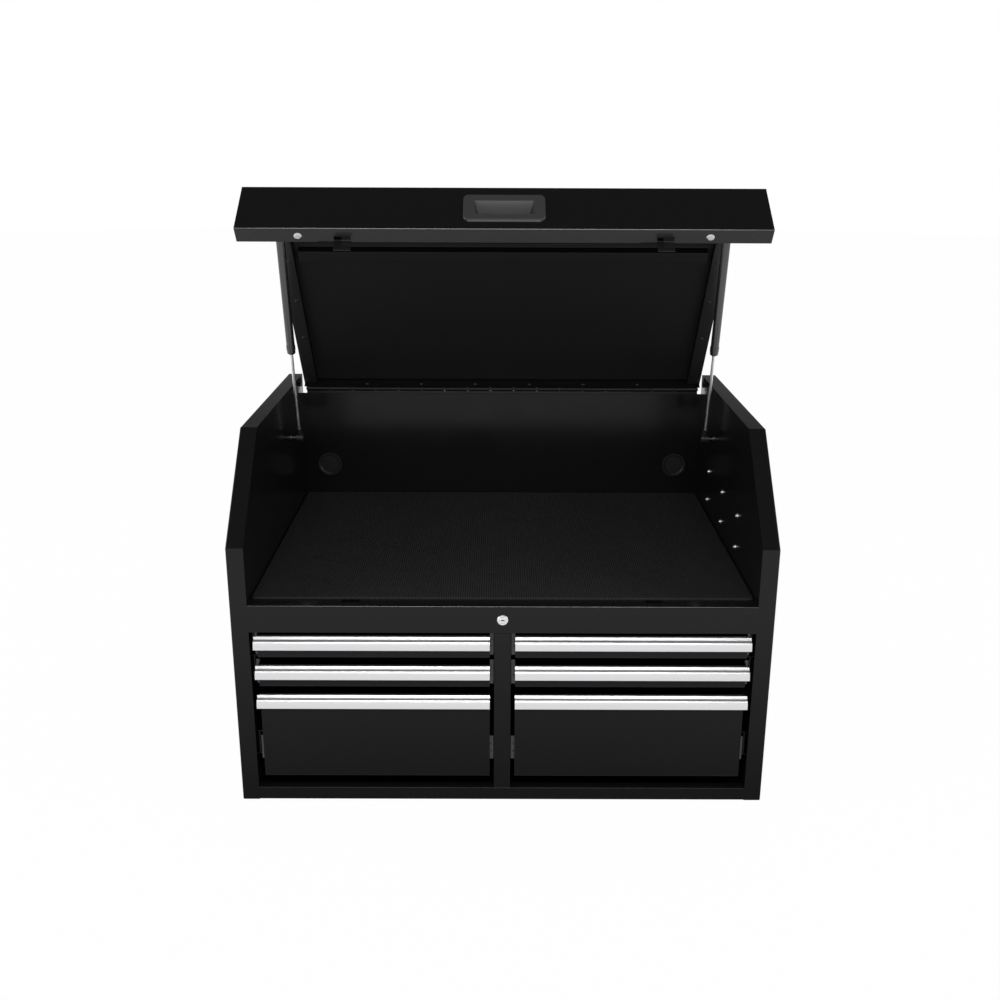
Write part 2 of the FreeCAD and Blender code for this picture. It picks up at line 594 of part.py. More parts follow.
def make_lid_braces():
    channels = new_body("lid_side_channels", place_in_lid)
    web = "lid_rise - lid_rim"
    inner_top = "lid_rise - gauge"
    for side in (-1, 1):
        corners = [
            ("lid_half", f"{web} - gauge"), ("lid_half", web), ("channel_reach + gauge", web),
            ("channel_reach + gauge", inner_top), ("channel_reach", inner_top),
            ("channel_reach", f"{web} - gauge"),
        ]
        pad(channels, "XZ", "-gusset_back", "-channel_back", [(sided(side, x), z) for x, z in corners])
    brace = new_body("lid_stiffener", place_in_lid)
    back, front = "-brace_back", "-brace_back - brace_wide"
    low, foot_low = "(lid_rise - gauge - brace_deep)", f"{inner_top} - gauge"
    pad(brace, "YZ", "-brace_half", "brace_half", [
        (back, inner_top), (front, inner_top), (front, foot_low), (f"{front} + brace_foot", foot_low),
        (f"{front} + brace_foot + brace_slant", low), (f"{back} - brace_foot - brace_slant", low),
        (f"{back} - brace_foot", foot_low), (back, foot_low),
    ])
    inner = [
        (f"{front} + brace_foot + gauge", inner_top),
        (f"{front} + brace_foot + brace_slant + gauge", f"{low} + gauge"),
        (f"{back} - brace_foot - brace_slant - gauge", f"{low} + gauge"),
        (f"{back} - brace_foot - gauge", inner_top),
    ]
    cut(brace, "YZ", "-brace_half", "brace_half", inner)


def make_lid_rivets():
    rivets = new_body("lid_rivets", place_in_lid)
    for step in range(3):
        for side in (-1, 1):
            across = sided(side, f"leaf_rivet_x + {step} * leaf_rivet_pitch")
            turned(rivets, "Y", (across, "-gauge", "leaf_rivet_z"), dome("rivet_wide", "rivet_rise"))
    web_low = "lid_rise - lid_rim - gauge"
    for step in range(3):
        along = f"-(brace_rivet_first + {step} * brace_rivet_pitch)"
        for side in (-1, 1):
            turned(rivets, "Z", (sided(side, "rivet_x"), along, web_low), dome("rivet_wide", "rivet_rise"))


def make_bumpers():
    bumpers = new_body("lid_bumpers", place_in_lid)
    for side in (-1, 1):
        turned(bumpers, "Z", (sided(side, "bumper_x"), "bumper_y - hinge_y", LID_LOW), [
            ("stem_long", "0"), ("stem_long", "stem_wide / 2"), ("0", "stem_wide / 2"),
            ("0", "bumper_wide / 2"), ("-bumper_thick", "bumper_wide / 3"), ("-bumper_thick", "0"),
        ])


def make_hooks():
    hooks = new_body("lid_hooks", place_in_lid)
    tip = "(hook_low - hinge_z)"
    seat = f"({LID_LOW} + gauge)"
    tab_high = f"{seat} + hook_tab_high"
    for side in (-1, 1):
        left = f"({sided(side, 'hook_x')} - hook_wide / 2)"
        pad(hooks, "XZ", "hook_y - hinge_y", "hook_y + hook_thick - hinge_y", [
            (left, tip), (f"{left} + hook_wide", tip), (f"{left} + hook_wide", f"{tip} + hook_foot"),
            (f"{left} + hook_leg", f"{tip} + hook_foot"), (f"{left} + hook_leg", tab_high),
            (f"{left} - hook_tab", tab_high), (f"{left} - hook_tab", seat), (left, seat),
        ])
        pad(hooks, "XY", seat, f"{seat} + hook_thick",
            rectangle(f"{left} - hook_tab", "hook_tab_front - hinge_y", left, "hook_y - hinge_y"))


# Lock: the core turns a cam whose pin slides the bar under the lid hooks' throats

def make_lock():
    barrel = new_body("lock_housing")
    centre = ("0", "0", "lock_z")
    turned(barrel, "Y", centre, [
        ("-lock_proud", "core_wide / 2 + core_clear"), ("-lock_proud", "lock_wide / 2 - lock_edge"),
        ("lock_edge - lock_proud", "lock_wide / 2"), ("0", "lock_wide / 2"), ("0", "barrel_wide / 2"),
        ("barrel_long", "barrel_wide / 2"), ("barrel_long", "core_wide / 2 + core_clear"),
    ])
    core = new_body("lock_core")
    face = "-lock_proud - core_proud"
    turned(core, "Y", centre, [
        (face, "0"), (face, "core_wide / 2 - core_edge"), (f"{face} + core_edge", "core_wide / 2"),
        ("barrel_long + cam_gap", "core_wide / 2"), ("barrel_long + cam_gap", "0"),
    ])
    cut(core, "XZ", face, "key_deep",
        rectangle("-key_wide / 2", "lock_z - key_high / 2", "key_wide / 2", "lock_z + key_high / 2"))
    cam = new_body("lock_cam")
    near_face, far_face = "(barrel_long + cam_gap)", "(barrel_long + cam_gap + cam_thick)"
    lean, edge = "cam_radius * sqrt(0.5)", "cam_root * sqrt(0.5)"
    pad(cam, "XZ", near_face, far_face, (("0", "lock_z"), "cam_root * 2"))
    pad(cam, "XZ", near_face, far_face, [
        (f"-{edge}", f"lock_z - {edge}"), (lean, f"lock_z - {lean} - cam_nose"),
        (f"{lean} + cam_nose", f"lock_z - {lean}"), (edge, f"lock_z + {edge}"),
    ])
    pad(cam, "XZ", far_face, f"{BAR_BACK} + fit_clear", ((lean, f"lock_z - {lean}"), "cam_pin"))


def make_lock_bar():
    bar = new_body("lock_bar")
    foot = "(header_low + gauge + bar_rest)"
    wide = "(hook_wide / 2)"
    right = f"(hook_x + {wide} + tongue_gap)"
    left = f"(-hook_x + {wide} + tongue_gap)"
    left_ear = f"({left} + tongue_long)"
    right_ear = f"({right} + tongue_long)"
    centre = "(cam_radius * sqrt(0.5))"
    play = "((cam_pin + pin_play) / 2)"
    feet = [
        (f"{sided(s, 'bar_foot_x')} + {out} * bar_foot_wide / 2", level)
        for s in (-1, 1) for out, level in ((-1, "bar_low"), (-1, foot), (1, foot), (1, "bar_low"))
    ]
    pad(bar, "XZ", f"{BAR_BACK} - bar_thick", BAR_BACK, [
        (left, "bar_low"), *feet, (f"{right_ear} + ear_wide", "bar_low"),
        (f"{right_ear} + ear_wide", "tongue_high"), (right, "tongue_high"), (right, "tongue_low"),
        (right_ear, "tongue_low"), (right_ear, "bar_top"),
        (f"{left_ear} + ear_wide", "bar_top"), (f"{left_ear} + ear_wide", "tongue_high"),
        (left, "tongue_high"), (left, "tongue_low"), (left_ear, "tongue_low"), (left_ear, "bar_top"),
        (left, "bar_top"),
    ], rectangle(f"{centre} - {play}", "lock_z - cam_radius - cam_pin", f"{centre} + {play}",
                 "lock_z - cam_pin"))


# Gas struts: drawn upright from the lower ball and leant to the upper one

def strut_lean():
    """Lean from the vertical and length between the balls with the lid open."""
    turn = math.radians(size("lid_open"))
    reach, rise = -size("strut_lid_reach"), size("strut_lid_rise")
    upper_y = size("hinge_y") + reach * math.cos(turn) + rise * math.sin(turn)
    upper_z = size("hinge_z") - reach * math.sin(turn) + rise * math.cos(turn)
    over, up = size("strut_y") - upper_y, upper_z - size("strut_z")
    return math.degrees(math.atan2(over, up)), math.hypot(over, up)


def place_on_strut(part):
    lean, _ = strut_lean()
    turn = FreeCAD.Rotation(FreeCAD.Vector(1, 0, 0), lean)
    part.Placement = FreeCAD.Placement(FreeCAD.Vector(), turn)
    bind(part, "Placement.Base.y", "strut_y - depth / 2")
    bind(part, "Placement.Base.z", "strut_z")


def make_strut(name, side):
    centre = (sided(side, "strut_x"), "0", "0")
    _, reach = strut_lean()
    rod = new_body(f"strut_rod_{name}", place_on_strut)
    shank, bore = "rod_wide / 2", "cylinder_wide / 2 - cylinder_wall"
    piston = f"({bore} - piston_clear)"
    turned(rod, "Z", centre, [
        ("rod_start", "0"), ("rod_start", shank), ("rod_long - piston_long", shank),
        ("rod_long - piston_long", piston), ("rod_long", piston), ("rod_long", "0"),
    ])
    lower = new_body(f"strut_lower_socket_{name}", place_on_strut)
    make_socket(lower, side, centre, "0", 1)
    cut(lower, "XY", "rod_start", "socket_long", ((centre[0], "0"), "rod_wide"))
    cylinder = new_body(f"strut_cylinder_{name}", place_on_strut)
    top = f"({reach} - socket_long)"
    collar = "(cylinder_low + collar_at)"
    neck, outside = "rod_wide / 2 + piston_clear", "cylinder_wide / 2"
    turned(cylinder, "Z", centre, [
        ("cylinder_low", neck), ("cylinder_low", f"{outside} - cylinder_edge"),
        ("cylinder_low + cylinder_edge", outside), (collar, outside), (collar, "collar_wide / 2"),
        (f"{collar} + collar_long", "collar_wide / 2"), (f"{collar} + collar_long", outside),
        (f"{top} - cylinder_edge", outside), (top, f"{outside} - cylinder_edge"), (top, "0"),
        (f"{top} - cylinder_end", "0"), (f"{top} - cylinder_end", bore),
        ("cylinder_low + bush_long", bore), ("cylinder_low + bush_long", neck),
    ])
    upper = new_body(f"strut_upper_end_{name}", place_on_strut)
    make_socket(upper, side, centre, str(reach), -1)
    base_face = "lid_half - gauge - stud_gap"
    make_stud(upper, side, (centre[0], "0", str(reach)), f"({base_face} - strut_x)")


def ball_points(side, radius):
    """Half outline of a ball from its far end past its middle, in straight steps."""
    return [
        (sided(side, f"-({radius})"), "0"), (sided(side, f"-({radius}) * sqrt(3) / 2"), f"({radius}) / 2"),
        (sided(side, f"-({radius}) / 2"), f"({radius}) * sqrt(3) / 2"), ("0", radius),
        (sided(side, f"({radius}) / 2"), f"({radius}) * sqrt(3) / 2"),
    ]


def make_socket(body, side, centre, level, up):
    """Cup that snaps over a ball, open towards the wall, with a sleeve along the strut."""
    outside, throat = "socket_wide / 2", "neck_wide * sqrt(0.5)"
    seat = "ball_wide / 2 + ball_clear"
    turned(body, "X", (centre[0], "0", level), [
        *ball_points(side, seat), (sided(side, f"sqrt(({seat}) ^ 2 - ({throat}) ^ 2)"), throat),
        (sided(side, "socket_mouth"), throat), (sided(side, "socket_mouth"), outside),
        (sided(side, "socket_edge - socket_back"), outside),
        (sided(side, "-socket_back"), f"{outside} - socket_edge"), (sided(side, "-socket_back"), "0"),
    ])
    root, end = (f"{level} + {up} * {reach}" for reach in ("socket_root", "socket_long"))
    turned(body, "Z", centre, [
        (root, "0"), (root, "sleeve_wide / 2"), (f"{end} - {up} * sleeve_edge", "sleeve_wide / 2"),
        (end, "sleeve_wide / 2 - sleeve_edge"), (end, "0"),
    ])


def make_stud(body, side, centre, reach):
    """Ball on a neck with a round base; reach is from the ball's centre to the base's face."""
    neck, base = "neck_wide / 2", "stud_base / 2"
    top = f"{reach} - stud_base_thick"
    turned(body, "X", centre, [
        *ball_points(side, "ball_wide / 2"),
        (sided(side, "sqrt(ball_wide ^ 2 - neck_wide ^ 2) / 2"), neck), (sided(side, top), neck),
        (sided(side, top), f"{base} - stud_edge"),
        (sided(side, f"{top} + stud_edge"), base), (sided(side, reach), base), (sided(side, reach), "0"),
    ])


def make_wall_studs():
    studs = new_body("strut_wall_studs")
    for side in (-1, 1):
        centre = (sided(side, "strut_x"), "strut_y", "strut_z")
        make_stud(studs, side, centre, f"({INNER} - strut_x)")


# Drawers and their ball-bearing slides

CABINET_HALF = "(slide_high / 2)"
MIDDLE_HALF = "(slide_high / 2 - slide_gauge - race)"
DRAWER_HALF = "(slide_high / 2 - 2 * slide_gauge - 2 * race)"
MIDDLE_WEB = "(slide_gauge + slide_web_gap)"
MIDDLE_FRONT = "(slide_front + slide_step)"


def slide_walls():
    """Each slide's mounting face and the way from it to its drawer, for one column."""
    return [(INNER, -1), ("partition_half", 1)]


def slide_level(row):
    low, _, rise = ROWS[row]
    return f"({low} + {rise} + slide_high / 2)"


def slide_channel(body, front, level, half, web, back, edge):
    """Channel from web to edge across the chest; back is the web's other face."""
    inner = f"({half} - slide_gauge)"
    pad(body, "XZ", front, f"{front} + slide_long", [
        (web, f"{level} - {half}"), (edge, f"{level} - {half}"), (edge, f"{level} - {inner}"),
        (back, f"{level} - {inner}"), (back, f"{level} + {inner}"), (edge, f"{level} + {inner}"),
        (edge, f"{level} + {half}"), (web, f"{level} + {half}"),
    ])


def from_wall(side, face, way, *distances):
    """Places across the chest at distances from a slide's mounting face."""
    return [sided(side, f"({face}) + {way} * ({distance})") for distance in distances]


def make_cabinet_members():
    members = new_body("slide_cabinet_members")
    for side in SIDES.values():
        for row in ROWS:
            for face, way in slide_walls():
                web = from_wall(side, face, way, "0", "slide_gauge", "member_reach")
                slide_channel(members, f"{MIDDLE_FRONT} + slide_step", slide_level(row), CABINET_HALF, *web)


def make_middle_members(name, side, row):
    members = new_body(f"slide_middle_{row}_{name}")
    level = slide_level(row)
    half_way, end = f"{MIDDLE_FRONT} + slide_long / 2", f"{MIDDLE_FRONT} + slide_long"
    for face, way in slide_walls():
        web = from_wall(side, face, way, MIDDLE_WEB, f"{MIDDLE_WEB} + slide_gauge",
                        "slide_thick - slide_end_gap")
        slide_channel(members, MIDDLE_FRONT, level, MIDDLE_HALF, *web)
        outer = from_wall(side, face, way, "slide_gauge + race_clear", "member_reach - slide_gauge")
        ball_strips(members, level, CABINET_HALF, half_way, end, outer)
        inner = from_wall(side, face, way, f"{MIDDLE_WEB} + slide_gauge + race_clear",
                          "slide_thick - slide_gauge - race_clear")
        ball_strips(members, level, MIDDLE_HALF, MIDDLE_FRONT, half_way, inner)


def ball_strips(body, level, half, start, end, across):
    """Retainers with their balls in the upper and lower race of a channel."""
    reach = f"({half} - slide_gauge - race_clear)"
    for up in (1, -1):
        pad(body, "XZ", start, end, rectangle(
            across[0], f"{level} + {up} * ({reach} - race + 2 * race_clear)",
            across[1], f"{level} + {up} * {reach}"))


def make_drawer(name, side, row):
    low, high, _ = ROWS[row]
    tray = new_body(f"drawer_tray_{row}_{name}")
    top = f"{low} + {high}"
    start, end = sorted((sided(side, "tray_inner"), sided(side, "tray_outer")), key=size)
    pad(tray, "XY", low, top, rectangle(start, "0", end, "tray_deep"))
    round_edges(tray, "tray_round", lambda p, d, e: near(p.z, low))
    hollow(tray, "drawer_gauge", lambda f: near(f.CenterOfMass.z, top))
    members = new_body(f"slide_drawer_{row}_{name}")
    for face, way in slide_walls():
        web = from_wall(side, face, way, "slide_thick", "slide_thick - slide_gauge",
                        f"{MIDDLE_WEB} + slide_gauge + 2 * race_clear")
        slide_channel(members, "slide_front", slide_level(row), DRAWER_HALF, *web)
        tab = from_wall(side, face, way, "tab_start", "tab_waist", "slide_thick")
        front_tab(members, slide_level(row), *tab)
    make_pull(name, side, row, f"({top})")


def front_tab(body, level, edge, waist, web):
    """Folded stop at a drawer member's front, waisted twice on the drawer's side."""
    half = "(slide_high / 2)"
    waists = [
        point for up in (-1, 1) for point in (
            (web, f"{level} + {up} * tab_waist_z - tab_waist_half"),
            (waist, f"{level} + {up} * tab_waist_z - tab_waist_half"),
            (waist, f"{level} + {up} * tab_waist_z + tab_waist_half"),
            (web, f"{level} + {up} * tab_waist_z + tab_waist_half"))
    ]
    pad(body, "XZ", "slide_front", "slide_front + slide_gauge", [
        (edge, f"{level} - {half}"), (web, f"{level} - {half}"), *waists,
        (web, f"{level} + {half}"), (edge, f"{level} + {half}"),
    ])


def make_pull(name, side, row, top):
    """Channel pull: a slanted brow, a fine groove and a skirt that curves down to the foot."""
    pull = new_body(f"drawer_pull_{row}_{name}")
    start, end = sorted((sided(side, "tray_inner"), sided(side, "pull_outer")), key=size)
    crest = f"{top} - pull_drop"
    brow, groove = f"{crest} - pull_brow_drop", f"{crest} - pull_brow_drop - pull_groove_high"
    root, belly, foot = (f"{crest} - {drop}" for drop in ("pull_root", "pull_belly_low", "pull_high"))
    pad(pull, "YZ", start, end, [
        ("0", crest), ("-pull_lip", crest), ("-pull_brow", brow), ("pull_groove - pull_brow", brow),
        ("pull_groove - pull_brow", groove), ("-pull_brow - pull_step", groove, "pull_belly", 1),
        ("-pull_proud", belly), ("-pull_proud - pull_lean", f"{foot} + pull_toe"),
        ("-pull_proud - pull_lean + pull_toe", foot), ("-pull_proud - pull_lean + pull_wall", foot),
        ("-pull_proud + pull_wall", belly, "pull_hollow", -1), ("-pull_root_wide", root),
        ("-pull_wall", root), ("-pull_wall", f"{crest} - pull_back"), ("0", f"{crest} - pull_back"),
    ])


def check_and_export():
    DOCUMENT.recompute()
    failed = [o.Name for o in DOCUMENT.Objects if {"Invalid", "Error"} & set(o.State)]
    if failed:
        raise RuntimeError(f"failed objects: {failed}")
    for part in PARTS:
        if part.Shape.isNull() or not part.Shape.isValid() or not part.Shape.Solids:
            raise RuntimeError(f"{part.Label} has no valid solid")
    os.makedirs("parts", exist_ok=True)
    for part in PARTS:
        part.Shape.exportStep(f"parts/{part.Label}.step")
        print(part.Label, len(part.Shape.Solids), round(part.Shape.Volume / 1000, 2))


def build():
    for name, side in SIDES.items():
        make_side_skin(name, side)
    make_side_liners()
    make_back_panel()
    make_bottom_pan()
    make_header()
    make_centre()
    make_compartment()
    make_grommets()
    make_side_bolts()
    make_hinge()
    make_lid_shell()
    make_handle_cup()
    make_lid_braces()
    make_lid_rivets()
    make_bumpers()
    make_hooks()
    make_lock()
    make_lock_bar()
    make_wall_studs()
    for name, side in SIDES.items():
        make_strut(name, side)
    make_cabinet_members()
    for name, side in SIDES.items():
        for row in ROWS:
            make_middle_members(name, side, row)
            make_drawer(name, side, row)
    check_and_export()


build()
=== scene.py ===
"""Looks of the combination tool chest, built around its CAD frame.

Each material slot of the frame gets a procedural finish, and the folded sheets get rounded edges. The
camera stands where the photograph's did, in a white studio with a dark ceiling.
"""
import math

import bpy
from mathutils import Matrix, Vector

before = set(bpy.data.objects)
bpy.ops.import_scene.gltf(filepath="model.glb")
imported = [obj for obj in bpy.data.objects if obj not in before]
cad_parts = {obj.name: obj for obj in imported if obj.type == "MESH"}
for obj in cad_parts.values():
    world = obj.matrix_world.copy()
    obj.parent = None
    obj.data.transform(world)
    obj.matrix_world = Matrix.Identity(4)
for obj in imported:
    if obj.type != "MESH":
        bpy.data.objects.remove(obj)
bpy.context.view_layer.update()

# The photograph's camera: place and reach in metres, angles in degrees, sensor and lens in millimetres
CAMERA_PLACE = Vector((-0.00919, -2.06565, 1.1081))
CAMERA_YAW = 0.13
CAMERA_PITCH = 17.56
CAMERA_ROLL = 0.22
CAMERA_REACH = 100
SENSOR = 36.0
FOCAL_LENGTH = 40.67

# The ways that these surfaces of the open lid face: its underside, the fold between its front face and the
# return flange, and the upper face of the handle cup. Light is painted on the surfaces that face these ways
LID_INSIDE = (0, -0.804, -0.595)
LID_FOLD = (0, -0.990, 0.141)
CUP_WALL = (0, -0.867, -0.497)

# The places along Y, in metres, where the bright line of the lid's front fold begins to fade and is gone
LID_FOLD_Y = (-0.235, -0.21)

# The rises of a normal at which a fold of the case begins to shine, shines fully, begins to fade and is dull
SHINE_RISE = (0.15, 0.25, 0.62, 0.68)
# The square of a normal's X at which a fold no longer counts as running across the case
SHINE_ACROSS = 0.05

# Index of refraction of flat paint, and the raised one that paints a highlight on a fold
PAINT_IOR = 1.5
HIGHLIGHT_IOR = 4.0

# Heights, in metres, over which a painted shade that dims the case paint's gloss toward the floor fades out,
# and the paint's specular level in that shade and out of it
PAINTED_SHADE_HEIGHTS = (0.02, 0.36)
SHADED_SPECULAR = 0.05
UNSHADED_SPECULAR = 0.22

# Spacing of a wave texture's bands at a scale of 1, and of the mat's mesh, in metres
WAVE_PITCH = 2 * math.pi / 20
MAT_PITCH = 0.004

# Linear colours that are used more than once
PAINT_BLACK = (0.007, 0.007, 0.0074)
BEZEL_BLACK = (0.034, 0.034, 0.035)

# The bend radius of each folded piece's edges, in metres
BENDS = {
    "side_liners": 0.0008,
    "lid_shell": 0.0004,
    "lid_side_channels": 0.0005,
    "lid_stiffener": 0.0005,
}
# Points nearer than this, in metres, are joined first, and edges flatter than the angle stay as they are
WELD = 1e-5
BEND_STEPS = 2
BEND_ANGLE = math.radians(30)

# The floor: a disc of pale paper, with the share of its glow that each kind of ray sees
FLOOR_RADIUS = 14.0
FLOOR_SIDES = 96
FLOOR_PAPER = (0.85, 0.85, 0.85, 1)
FLOOR_GLOW = 0.98
FLOOR_MIRROR = 0.8
FLOOR_BOUNCE = 0.3

# The sky: its strength near the horizon, overhead, and as plain light on dull surfaces
STUDIO_WHITE = 1.0
CEILING_LEVEL = 0.06
DIFFUSE_SKY = 0.55
# The ceiling's fall from white to dark, as the rise of a unit direction, and its drop toward the back
CEILING_START = 0.2
CEILING_END = 0.5
CEILING_TILT = 0.27

# What the lamps point at, in metres
LAMP_AIM = Vector((0, 0, 0.5))


def calculated(tree, operation, first, second):
    """The result of a Math node on an output and a second output or number."""
    node = tree.nodes.new("ShaderNodeMath")
    node.operation = operation
    tree.links.new(first, node.inputs[0])
    if isinstance(second, float):
        node.inputs[1].default_value = second
    else:
        tree.links.new(second, node.inputs[1])
    return node.outputs[0]


class Finish:
    """A material and the few steps that its nodes are built from."""

    def __init__(self, name, colour, roughness, metallic=0.0, specular=0.5):
        self.material = bpy.data.materials.new(name)
        self.material.use_nodes = True
        self.tree = self.material.node_tree
        self.shader = self.tree.nodes["Principled BSDF"]
        self.shader.inputs["Base Color"].default_value = (*colour, 1)
        self.shader.inputs["Roughness"].default_value = roughness
        self.shader.inputs["Metallic"].default_value = metallic
        self.shader.inputs["Specular IOR Level"].default_value = specular
        self.place = self.add("ShaderNodeTexCoord").outputs["Object"]
        self.last_bump = None

    def add(self, kind, **values):
        node = self.tree.nodes.new(kind)
        for name, value in values.items():
            setattr(node, name, value)
        return node

    def join(self, output, socket):
        self.tree.links.new(output, socket)

    def along(self, axis):
        """The object's own coordinate along an axis, in metres."""
        node = self.add("ShaderNodeSeparateXYZ")
        self.join(self.place, node.inputs["Vector"])
        return node.outputs[axis]

    def facing(self, way):
        """How squarely the surface faces a way in the object's own frame, from -1 to 1."""
        node = self.add("ShaderNodeVectorMath", operation="DOT_PRODUCT")
        node.inputs[1].default_value = way
        self.join(self.add("ShaderNodeTexCoord").outputs["Normal"], node.inputs[0])
        return node.outputs["Value"]

    def noise(self, scale, detail=3.0, roughness=0.5, stretch=(1, 1, 1)):
        mapping = self.add("ShaderNodeMapping")
        mapping.inputs["Scale"].default_value = stretch
        self.join(self.place, mapping.inputs["Vector"])
        node = self.add("ShaderNodeTexNoise")
        node.inputs["Scale"].default_value = scale
        node.inputs["Detail"].default_value = detail
        node.inputs["Roughness"].default_value = roughness
        self.join(mapping.outputs["Vector"], node.inputs["Vector"])
        return node.outputs["Fac"]

    def cells(self, scale):
        node = self.add("ShaderNodeTexVoronoi")
        node.inputs["Scale"].default_value = scale
        self.join(self.place, node.inputs["Vector"])
        return node.outputs["Distance"]

    def mesh(self, pitch):
        """A square mesh, from 0 in its holes to 1 on its knots."""
        bands = []
        for way in "XY":
            node = self.add("ShaderNodeTexWave", wave_type="BANDS", bands_direction=way)
            node.inputs["Scale"].default_value = WAVE_PITCH / pitch
            self.join(self.place, node.inputs["Vector"])
            bands.append(node.outputs["Fac"])
        return self.product(*bands)

    def product(self, first, second):
        return calculated(self.tree, "MULTIPLY", first, second)

    def spread(self, value, low, high, start=0.3, end=0.7):
        """A value's span from start to end, carried over to the span from low to high."""
        node = self.add("ShaderNodeMapRange")
        node.inputs["From Min"].default_value = start
        node.inputs["From Max"].default_value = end
        node.inputs["To Min"].default_value = low
        node.inputs["To Max"].default_value = high
        self.join(value, node.inputs["Value"])
        return node.outputs["Result"]

    def tint(self, value, low, high):
        """A colour between two, by a value from 0 to 1."""
        node = self.add("ShaderNodeMix", data_type="RGBA")
        node.inputs["A"].default_value = (*low, 1)
        node.inputs["B"].default_value = (*high, 1)
        self.join(value, node.inputs["Factor"])
        self.join(node.outputs["Result"], self.shader.inputs["Base Color"])

    def painted_highlight(self, folds):
        """A painted highlight on the folds, through a raised index of refraction, where the value is 1."""
        self.join(self.spread(folds, PAINT_IOR, HIGHLIGHT_IOR, start=0, end=1), self.shader.inputs["IOR"])

    def vary_roughness(self, value, low, high):
        self.join(self.spread(value, low, high), self.shader.inputs["Roughness"])

    def bump(self, value, height, strength):
        """Raised by a value from 0 to 1, on top of the bump before it."""
        node = self.add("ShaderNodeBump")
        node.inputs["Strength"].default_value = strength
        node.inputs["Distance"].default_value = height
        self.join(value, node.inputs["Height"])
        if self.last_bump:
            self.join(self.last_bump, node.inputs["Normal"])
        self.last_bump = node.outputs["Normal"]
        self.join(self.last_bump, self.shader.inputs["Normal"])


# Finishes

def enamel(name, colour, roughness, specular):
    """Gloss black paint: an orange-peel skin and faint handling marks in the roughness."""
    finish = Finish(name, colour, roughness, specular=specular)
    marks = finish.noise(scale=9, detail=6, roughness=0.65)
    finish.vary_roughness(marks, low=roughness * 0.85, high=roughness * 1.3)
    finish.bump(finish.noise(scale=650, detail=2), height=0.00004, strength=0.25)
    return finish


def black_enamel():
    """Case paint, with a painted shade that dims its gloss toward the floor, and a painted highlight along
    its folds.
    """
    finish = enamel("black_enamel", PAINT_BLACK, roughness=0.15, specular=UNSHADED_SPECULAR)
    # Painted shade: the specular level falls toward the floor, darkening the paint's reflections there
    shaded_gloss = finish.spread(finish.along("Z"), SHADED_SPECULAR, UNSHADED_SPECULAR, *PAINTED_SHADE_HEIGHTS)
    finish.join(shaded_gloss, finish.shader.inputs["Specular IOR Level"])
    # Painted highlight: folds that rise toward the light and run across the case get a raised index of
    # refraction
    across = finish.facing((1, 0, 0))
    level = finish.spread(finish.product(across, across), low=1, high=0, start=0, end=SHINE_ACROSS)
    rise = finish.facing((0, 0, 1))
    above = finish.spread(rise, 0, 1, *SHINE_RISE[:2])
    below = finish.spread(rise, 1, 0, *SHINE_RISE[2:])
    finish.painted_highlight(finish.product(level, finish.product(above, below)))
    return finish.material


def lid_enamel():
    """Lid paint, with painted fill light that makes its underside paler, and a painted highlight along the
    front fold.
    """
    finish = enamel("lid_enamel", PAINT_BLACK, roughness=0.16, specular=0.22)
    # Painted fill light: the faces that look down and forward, the lid's underside, are tinted paler
    painted_fill = finish.spread(finish.facing(LID_INSIDE), low=0, high=1, start=0.5, end=0.8)
    finish.tint(painted_fill, low=(0.006, 0.006, 0.0064), high=(0.024, 0.024, 0.025))
    # Painted highlight along the lid's front fold, through a raised index of refraction
    front = finish.spread(finish.along("Y"), 1, 0, *LID_FOLD_Y)
    fold = finish.spread(finish.facing(LID_FOLD), low=0, high=1, start=0.8, end=0.88)
    finish.painted_highlight(finish.product(front, fold))
    return finish.material


def hinge_enamel():
    return enamel("hinge_enamel", (0.006, 0.006, 0.0065), roughness=0.35, specular=0.4).material


def mat_rubber():
    """Soft foam mat with a fine square mesh pressed into it."""
    finish = Finish("mat_rubber", (0.010, 0.010, 0.0105), roughness=0.75, specular=0.35)
    finish.vary_roughness(finish.noise(scale=55, detail=5, roughness=0.7), low=0.65, high=0.85)
    threads = finish.mesh(MAT_PITCH)
    finish.tint(threads, low=(0.005, 0.005, 0.0052), high=(0.034, 0.034, 0.035))
    finish.bump(threads, height=0.0005, strength=0.6)
    finish.bump(finish.noise(scale=900, detail=2), height=0.0002, strength=0.4)
    return finish.material


def grommet_plastic():
    finish = Finish("grommet_plastic", (0.008, 0.008, 0.0085), roughness=0.42, specular=0.4)
    finish.bump(finish.noise(scale=900), height=0.00006, strength=0.4)
    return finish.material


def bezel_plastic():
    """Moulded black plastic with a fine grain, and painted light that makes the upper face of its cup paler.
    """
    finish = Finish("bezel_plastic", BEZEL_BLACK, roughness=0.45, specular=0.4)
    # Painted light: the cup face that looks down and forward is tinted paler
    painted_cup_light = finish.spread(finish.facing(CUP_WALL), low=0, high=1, start=0.95, end=0.99)
    finish.tint(painted_cup_light, low=BEZEL_BLACK, high=(0.2, 0.2, 0.205))
    finish.vary_roughness(finish.noise(scale=30, detail=4), low=0.4, high=0.52)
    finish.bump(finish.cells(scale=1500), height=0.00008, strength=0.4)
    return finish.material


def pull_aluminium():
    """Drawn aluminium, brushed along its length."""
    finish = Finish("pull_aluminium", (0.74, 0.74, 0.75), roughness=0.3, metallic=1.0)
    streaks = finish.noise(scale=40, detail=4, roughness=0.7, stretch=(0.02, 30, 30))
    finish.vary_roughness(streaks, low=0.24, high=0.36)
    finish.bump(streaks, height=0.000005, strength=0.05)
    return finish.material


def zinc_steel():
    finish = Finish("zinc_steel", (0.62, 0.63, 0.64), roughness=0.32, metallic=1.0)
    finish.vary_roughness(finish.noise(scale=60, detail=5), low=0.26, high=0.42)
    finish.bump(finish.noise(scale=500), height=0.00004, strength=0.3)
    return finish.material


